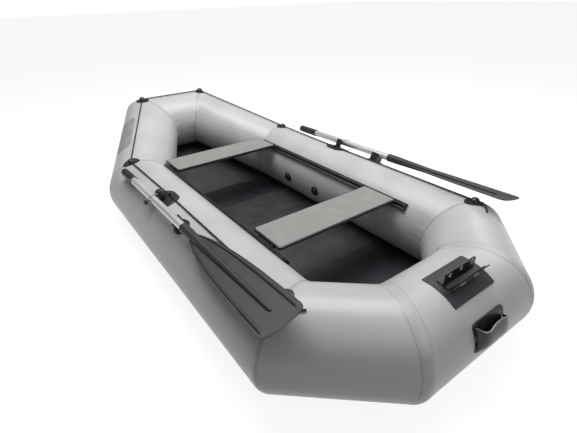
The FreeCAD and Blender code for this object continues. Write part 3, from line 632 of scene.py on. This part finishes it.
def build_handle_base(end):
    outline = oblong(*HANDLE_BASE, HANDLE_BASE_CORNER_R)
    levels = [(share, LIFT) for share in (0.2, 0.45, 0.7, 1.0)]
    levels += [(1.0, BASE_THICK * 0.6), (0.985, BASE_THICK), (0.93, BASE_THICK)]
    levels += [(share, BASE_THICK - BASE_STEP) for share in (0.92, 0.7, 0.45, 0.2)]
    rings = [[handle_point(share * x, share * y, height, end) for x, y in outline]
             for share, height in levels]
    base = rings_to_piece(end + "_handle_base", rings, PLASTIC, "hull")
    base.data.set_sharp_from_angle(angle=math.radians(40))


def pocket_wall(across_share, row, inset):
    """Across, down and out of the pocket's wall; its lip dips in a wave, where fingers go in."""
    down, share = POCKET_DEEP[row]
    wave = (LIP_DIP * math.exp(-((across_share + 0.60) / 0.30) ** 2)
            + LIP_SLOPE * max(0.0, across_share - 0.1) ** 2
            - LIP_RISE * math.exp(-((across_share + 1) / 0.10) ** 2))
    down += wave * (1 - row / (len(POCKET_DEEP) - 1)) ** 2
    bulge = POCKET_BULGE * max(0.0, 1 - abs(across_share) ** 5) ** 0.5
    out = max(0.0, bulge * share - inset) + (BASE_THICK if inset == 0 else BASE_THICK - 0.0005)
    return across_share * (HANDLE_HALF - inset), down - inset * 0.6, min(out, POCKET_MOST)


def build_handle_pocket(end):
    columns, rows = POCKET_COLUMNS, len(POCKET_DEEP)
    shares = [-math.cos(math.pi * k / (columns - 1)) for k in range(columns)]
    verts = []
    for inset in (0.0, POCKET_WALL):
        for row in range(rows):
            verts += [handle_point(*pocket_wall(share, row, inset), end) for share in shares]
    size = rows * columns
    faces = grid_faces(rows, columns, closed_columns=False)
    faces += [tuple(index + size for index in reversed(face)) for face in faces]
    slots = [0] * len(faces)
    for column in range(columns - 1):
        faces.append((column + 1, column, column + size, column + size + 1))
        # slot 1 paints a highlight: the lip's top edge faces take the light highlight grey
        slots.append(1 if abs(shares[column]) < 0.93 else 0)
        last = (rows - 1) * columns + column
        faces.append((last, last + 1, last + size + 1, last + size))
        slots.append(0)
    for row in range(rows - 1):
        for column in (0, columns - 1):
            a, b = row * columns + column, (row + 1) * columns + column
            faces.append((a, b, b + size, a + size))
            slots.append(0)
    pocket = piece(end + "_handle_pocket", verts, faces, [PLASTIC, EDGE], "hull", slots)
    outward(pocket)
    pocket.data.set_sharp_from_angle(angle=math.radians(50))
    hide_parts(end + "_handle")


# ---- rails: ridges along each, the inner two painted light grey as a highlight ----
RAIL_ANGLE = math.radians(52.0)
RAIL_HEIGHT = 0.0143
RIDGE_R = 0.0013
RIDGES_ACROSS = (-0.0165, -0.0105, 0.0105, 0.0165)


def build_rail_ridges(label, side):
    low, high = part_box(label + "_bench_rail")
    normal = side_normal(-RAIL_ANGLE)
    up = Vector((1, 0, 0)).cross(normal)
    for number, across in enumerate(RIDGES_ACROSS, 1):
        rings = []
        for x in (low[0] + 0.001, high[0] - 0.001):
            centre = Vector((x, -SIDE_Y, TUBE_R)) + normal * (TUBE_R + RAIL_HEIGHT) + up * across
            ring = [centre + up * RIDGE_R * math.cos(t) + normal * RIDGE_R * math.sin(t)
                    for t in circle(10)]
            rings.append(on_side(ring, side))
        # the inner two ridges take the painted highlight grey, the outer two stay black
        material = EDGE if number in (2, 3) else PLASTIC
        ridge = rings_to_piece("%s_rail_ridge_%d" % (label, number), rings, material, "hull")


# ---- coil springs on the bracket's rod, and rings in its holes ----
BRACKET_FACE_X = 1.2532
BRACKET_HOLE_Z = 0.415834
BRACKET_HOLE_PITCH = 0.062
SPRINGS_AT = (-0.030, 0.046)
SPRING_TURNS = 6
SPRING_LENGTH = 0.030
SPRING_GAP = 0.0036           # from the rod to the wire's middle
WIRE_R = 0.0009
TURN_STEPS = 16
GROMMET_R = 0.0072
GROMMET_RING = (0.0015, 0.0013)      # half its width and half its height


def build_springs():
    low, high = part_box("bracket_rod")
    x, z = (low[0] + high[0]) / 2, (low[2] + high[2]) / 2
    rod_r = (high[0] - low[0]) / 2
    steps = SPRING_TURNS * TURN_STEPS
    radius = rod_r + SPRING_GAP
    for number, middle in enumerate(SPRINGS_AT, 1):
        path = []
        for step in range(steps + 1):
            turn = 2 * math.pi * step / TURN_STEPS
            y = middle - SPRING_LENGTH / 2 + SPRING_LENGTH * step / steps
            path.append(Vector((x + radius * math.cos(turn), y, z + radius * math.sin(turn))))
        rings = []
        for index, point in enumerate(path):
            way = (path[min(index + 1, steps)] - path[max(index - 1, 0)]).normalized()
            side = way.cross(Vector((0, 1, 0))).normalized()
            top = side.cross(way)
            rings.append([point + (side * math.cos(t) + top * math.sin(t)) * WIRE_R for t in circle(8)])
        spring = rings_to_piece("bracket_spring_%d" % number, rings, STEEL, "hull")


def build_grommets():
    """A bright ring in each of the upright flange's holes."""
    half_width, half_height = GROMMET_RING
    aft = Vector((1, 0, 0))
    for number, y in enumerate((-BRACKET_HOLE_PITCH, 0.0, BRACKET_HOLE_PITCH), 1):
        rings = []
        for turn in circle(24):
            way = Vector((0, math.cos(turn), math.sin(turn)))
            centre = Vector((BRACKET_FACE_X, y, BRACKET_HOLE_Z)) + way * GROMMET_R
            rings.append([centre + way * half_width * math.cos(t) + aft * half_height * math.sin(t)
                          for t in circle(8)])
        faces = grid_faces(24, 8, closed_rows=True)
        made = piece("bracket_grommet_%d" % number, flat_list(rings), faces, [GROMMET], "hull")
        outward(made)


# ---- rowlock flanges ----
FLANGE_HALF = (0.078, 0.056)
FLANGE_CORNER_R = 0.055
FLANGE_AFT = 0.014            # of the swivel
FLANGE_TURN = math.radians(3.0)      # nearer to the tube's top than the swivel
FLANGE_LEVELS = ((0.2, LIFT), (0.6, LIFT), (1.0, LIFT), (1.0, 0.0016),
                 (0.96, 0.0026), (0.6, 0.0028), (0.2, 0.0028))      # share of the outline, and height


def build_rowlock_flange(label, side):
    """The soft oval patch that the rowlock's base is glued to."""
    outline = oblong(*FLANGE_HALF, FLANGE_CORNER_R, 10)
    rings = []
    for share, height in FLANGE_LEVELS:
        ring = []
        for x, across in outline:
            angle = ROWLOCK_ANGLE - FLANGE_TURN + share * across / TUBE_R
            ring.append(side_point(ROWLOCK_X + FLANGE_AFT + share * x, angle, height))
        rings.append(on_side(ring, side))
    flange = rings_to_piece(label + "_rowlock_flange", rings, SATIN, "hull")
    flange.data.set_sharp_from_angle(angle=math.radians(40))


# ---- grab line ----
LINE_R = 0.004
LINE_LIFT = 0.008             # over the tube, in an eyelet
GUIDE_LIFT = 0.005            # and in a rowlock's guide
LINE_PAST_EYELET = 0.024
LINE_BEND = 0.030
LINE_SPACING = 0.004
STRANDS = 3
STRAND_R = 0.0022
STRAND_LAY_R = 0.0019
STRAND_PITCH = 0.030
STRAND_AROUND = 6
STERN_EYELET_ANGLE = math.radians(8.0)
SIDE_EYELET_ANGLE = math.radians(12.0)
GUIDE_ANGLE = math.radians(8.5)
TAIL_ROUTE = ((1.0013, -0.5376, 0.3861), (1.0253, -0.5375, 0.3862),
              (1.0433, -0.5260, 0.3737), (1.0583, -0.5030, 0.3731))


def line_route():
    aft, forward = Vector((1, 0, 0)), Vector((-1, 0, 0))
    bow_way = (BOW_CORNER - BOW_TURN).normalized()
    stern_way = (STERN_CORNER - STERN_TURN).normalized()
    stern_cut = (aft + stern_way).normalized()
    side_cut = (forward + bow_way).normalized()
    bow_cut = (bow_way + Vector((0, 1, 0))).normalized()
    stern = on_cut(side_point(0, STERN_EYELET_ANGLE, LINE_LIFT), aft, STERN_TURN, stern_cut)
    guide = side_point(ROWLOCK_X, GUIDE_ANGLE, GUIDE_LIFT)
    side = on_cut(side_point(0, SIDE_EYELET_ANGLE, LINE_LIFT), forward, BOW_TURN, side_cut)
    bow = on_cut(side, bow_way, BOW_CORNER, bow_cut)
    port = [stern + aft * LINE_PAST_EYELET, guide, side, bow]
    return port + [flipped(point) for point in reversed(port)]


def softened(points, spacing, bend):
    """Evenly spaced points along straight runs, with quadratic bends at the corners."""
    result = []
    last = points[0]
    for before, corner, after in zip(points, points[1:], points[2:]):
        first = corner - (corner - before).normalized() * bend
        final = corner + (after - corner).normalized() * bend
        steps = max(1, round((first - last).length / spacing))
        result += [last.lerp(first, step / steps) for step in range(steps)]
        result += [first * (1 - t) ** 2 + corner * 2 * t * (1 - t) + final * t ** 2
                   for t in (0, 0.25, 0.5, 0.75)]
        last = final
    steps = max(1, round((points[-1] - last).length / spacing))
    return result + [last.lerp(points[-1], step / steps) for step in range(steps + 1)]


def strand_tubes(path):
    """The strands of a rope, twisted round a path: one mesh's points and faces."""
    verts, faces = [], []
    travelled = [0.0]
    for a, b in zip(path, path[1:]):
        travelled.append(travelled[-1] + (b - a).length)
    for strand in range(STRANDS):
        base = len(verts)
        for index, point in enumerate(path):
            ahead = path[min(index + 1, len(path) - 1)] - path[max(index - 1, 0)]
            way = ahead.normalized()
            side = way.cross(Vector((0, 0, 1))).normalized()
            up = side.cross(way)
            turn = 2 * math.pi * (travelled[index] / STRAND_PITCH + strand / STRANDS)
            centre = point + (side * math.cos(turn) + up * math.sin(turn)) * STRAND_LAY_R
            for angle in circle(STRAND_AROUND):
                t = angle + turn
                verts.append(centre + (side * math.cos(t) + up * math.sin(t)) * STRAND_R)
        faces += [tuple(base + index for index in face) for face in capped_faces(len(path), STRAND_AROUND)]
    return verts, faces


def build_grab_line():
    verts, faces = strand_tubes(softened(line_route(), LINE_SPACING, LINE_BEND))
    made = piece("grab_rope", verts, faces, [ROPE], "hull")
    outward(made)
    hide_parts("grab_line")


def build_tail(label, side):
    data = bpy.data.curves.new(label + "_rope_tail", "CURVE")
    data.dimensions = "3D"
    spline = data.splines.new("NURBS")
    spline.points.add(len(TAIL_ROUTE) - 1)
    for point, (x, y, z) in zip(spline.points, TAIL_ROUTE):
        point.co = (x, y * -side, z, 1)
    spline.order_u = 3
    spline.use_endpoint_u = True
    data.bevel_depth = LINE_R
    data.bevel_resolution = 5
    data.use_fill_caps = True
    data.materials.append(ROPE)
    made = bpy.data.objects.new(label + "_rope_tail", data)
    bpy.context.scene.collection.objects.link(made)
    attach(made, "hull")
    x, y, z = TAIL_ROUTE[0]
    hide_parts(label + "_line_tail")


# ---- stage, light and camera ----
FLOOR_COLOR = (0.28, 0.27, 0.26)
FLOOR_GLOW = 0.88
FLOOR_SIZE = 80
WORLD_COLOR = (0.93, 0.97, 1.0)
WORLD_LIGHT = 0.21
LIGHTS = (("top", (-0.4, 0.3, 3.6), (0, 0, 0), (3.4, 2.2), 140),
          ("side", (0.5, 3.4, 2.6), (0, 0, 0.3), (3.0, 1.2), 30),
          ("stern", (3.6, 0.6, 2.4), (0.8, 0, 0.3), (2.0, 1.4), 14))      # place, aim, size, watts


def build_stage():
    """A pale floor that keeps its shadow: it is lit softly, and shows brighter to the camera and in gloss."""
    floor_material, shader = new_material("floor", FLOOR_COLOR, 0.9)
    shader.inputs["Specular IOR Level"].default_value = 0.0
    tree = floor_material.node_tree
    path = tree.nodes.new("ShaderNodeLightPath")
    seen = tree.nodes.new("ShaderNodeMath")
    seen.operation = "MAXIMUM"
    glow = tree.nodes.new("ShaderNodeEmission")
    glow.inputs["Color"].default_value = (1, 1, 1, 1)
    strength = tree.nodes.new("ShaderNodeMath")
    strength.operation = "MULTIPLY"
    strength.inputs[1].default_value = FLOOR_GLOW
    both = tree.nodes.new("ShaderNodeAddShader")
    tree.links.new(path.outputs["Is Camera Ray"], seen.inputs[0])
    tree.links.new(path.outputs["Is Glossy Ray"], seen.inputs[1])
    tree.links.new(seen.outputs[0], strength.inputs[0])
    tree.links.new(strength.outputs[0], glow.inputs["Strength"])
    tree.links.new(shader.outputs[0], both.inputs[0])
    tree.links.new(glow.outputs[0], both.inputs[1])
    tree.links.new(both.outputs[0], tree.nodes["Material Output"].inputs[0])
    bpy.ops.mesh.primitive_plane_add(size=FLOOR_SIZE)
    floor = bpy.context.object
    floor.name = "floor"
    floor.data.materials.append(floor_material)

    world = bpy.data.worlds.new("studio")
    bpy.context.scene.world = world
    world.use_nodes = True
    tree = world.node_tree
    lit = tree.nodes["Background"]
    lit.inputs["Color"].default_value = (*WORLD_COLOR, 1)
    lit.inputs["Strength"].default_value = WORLD_LIGHT
    white = tree.nodes.new("ShaderNodeBackground")
    white.inputs["Color"].default_value = (1, 1, 1, 1)
    path = tree.nodes.new("ShaderNodeLightPath")
    mix = tree.nodes.new("ShaderNodeMixShader")
    tree.links.new(path.outputs["Is Camera Ray"], mix.inputs[0])
    tree.links.new(lit.outputs[0], mix.inputs[1])
    tree.links.new(white.outputs[0], mix.inputs[2])
    tree.links.new(mix.outputs[0], tree.nodes["World Output"].inputs[0])


def area_light(name, place, aim, size, power):
    lamp = bpy.data.lights.new(name, "AREA")
    lamp.shape = "RECTANGLE"
    lamp.size, lamp.size_y = size
    lamp.energy = power
    made = bpy.data.objects.new(name, lamp)
    made.location = place
    made.rotation_euler = (Vector(aim) - Vector(place)).to_track_quat("-Z", "Y").to_euler()
    bpy.context.scene.collection.objects.link(made)


CAMERA_AT = Vector((1.7853, -1.0756, 1.2294))
CAMERA_YAW = 2.5253
CAMERA_PITCH = -0.5145
CAMERA_ROLL = -0.0284
CAMERA_LENS = 24.73


def build_camera():
    level = math.cos(CAMERA_PITCH)
    look = Vector((math.cos(CAMERA_YAW) * level, math.sin(CAMERA_YAW) * level, math.sin(CAMERA_PITCH)))
    right = look.cross(Vector((0, 0, 1))).normalized()
    up = right.cross(look)
    rolled_right = right * math.cos(CAMERA_ROLL) + up * math.sin(CAMERA_ROLL)
    rolled_up = up * math.cos(CAMERA_ROLL) - right * math.sin(CAMERA_ROLL)
    data = bpy.data.cameras.new("camera")
    data.sensor_width = 36
    data.sensor_fit = "HORIZONTAL"
    data.lens = CAMERA_LENS
    camera = bpy.data.objects.new("camera", data)
    turn = Matrix((rolled_right, rolled_up, -look)).transposed()
    camera.matrix_world = Matrix.Translation(CAMERA_AT) @ turn.to_4x4()
    bpy.context.scene.collection.objects.link(camera)
    bpy.context.scene.camera = camera


SHEEN_BOARDS = "234"          # last figures of the names of the floor boards with a painted reflection: a lighter brownish grey for the sheen their tilt catches


def paint_frame():
    for name in NODES:
        if "patch" in name:
            paint(name, TRIM)
        elif name.endswith("sheet"):
            paint(name, BOTTOM)
        elif name.startswith("floor_board"):
            # the listed boards get the painted reflection, a lighter brownish grey; the rest stay blue-black
            paint(name, BOARD_PAINTED_SHEEN if name[-1] in SHEEN_BOARDS else BOARD_BLUE)
        elif name.endswith("shaft"):
            paint(name, SHAFT)
        elif name.endswith("bail"):
            paint(name, STEEL)
        else:
            paint(name, PLASTIC)
    for label, _ in SIDES:
        paint(label + "_bow_patch", PLAIN)


def main():
    bpy.context.scene.view_settings.view_transform = "Standard"
    build_camera()
    paint_frame()
    for label, side in SIDES:
        build_tail(label, side)
        build_blade(label, side)
        build_spine(label, side)
        build_grip(label, side)
        build_rail_ridges(label, side)
        build_rowlock_flange(label, side)
    build_hull()
    build_grab_line()
    for end in ("stern", "bow"):
        build_handle_base(end)
        build_handle_pocket(end)
    build_springs()
    build_grommets()
    build_bench("front")
    build_bench("rear")
    build_stage()
    for name, place, aim, size, power in LIGHTS:
        area_light(name, place, aim, size, power)


main()
